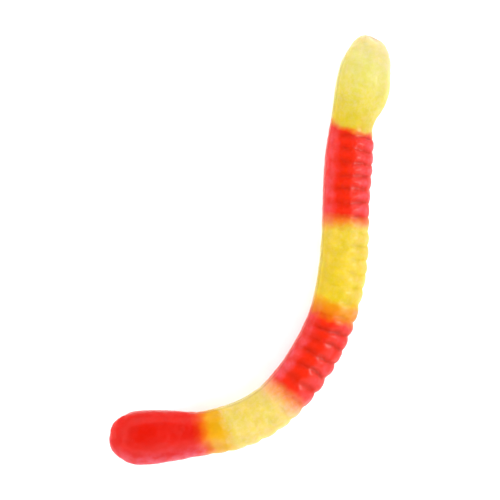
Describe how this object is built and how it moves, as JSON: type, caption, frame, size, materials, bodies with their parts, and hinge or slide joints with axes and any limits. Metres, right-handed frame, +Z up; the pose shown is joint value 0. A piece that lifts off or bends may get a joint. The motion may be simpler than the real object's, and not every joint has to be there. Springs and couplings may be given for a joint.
{
  "type": "gummy worm",
  "caption": "Moulded gummy worm curled in a hook: club ends, ringed round crown and a flat poured back with a shallow hollow, in yellow and red jelly.",
  "frame": {"origin": "middle of the worm's footprint, on the surface that it lies on", "axes": "+Z up, +Y from the bend towards the yellow head, -X towards the red tail; the worm lies on its side with the flat back inside the bend"},
  "size_m": [0.0506, 0.0764, 0.0095],
  "materials": {
    "fruit_jelly": "soft translucent gelatine jelly with a thin oil polish, yellow and red pours that blend to orange where they meet"
  },
  "bodies": {
    "root": {"gummy_worm": "fruit_jelly"}
  },
  "joints": []
}
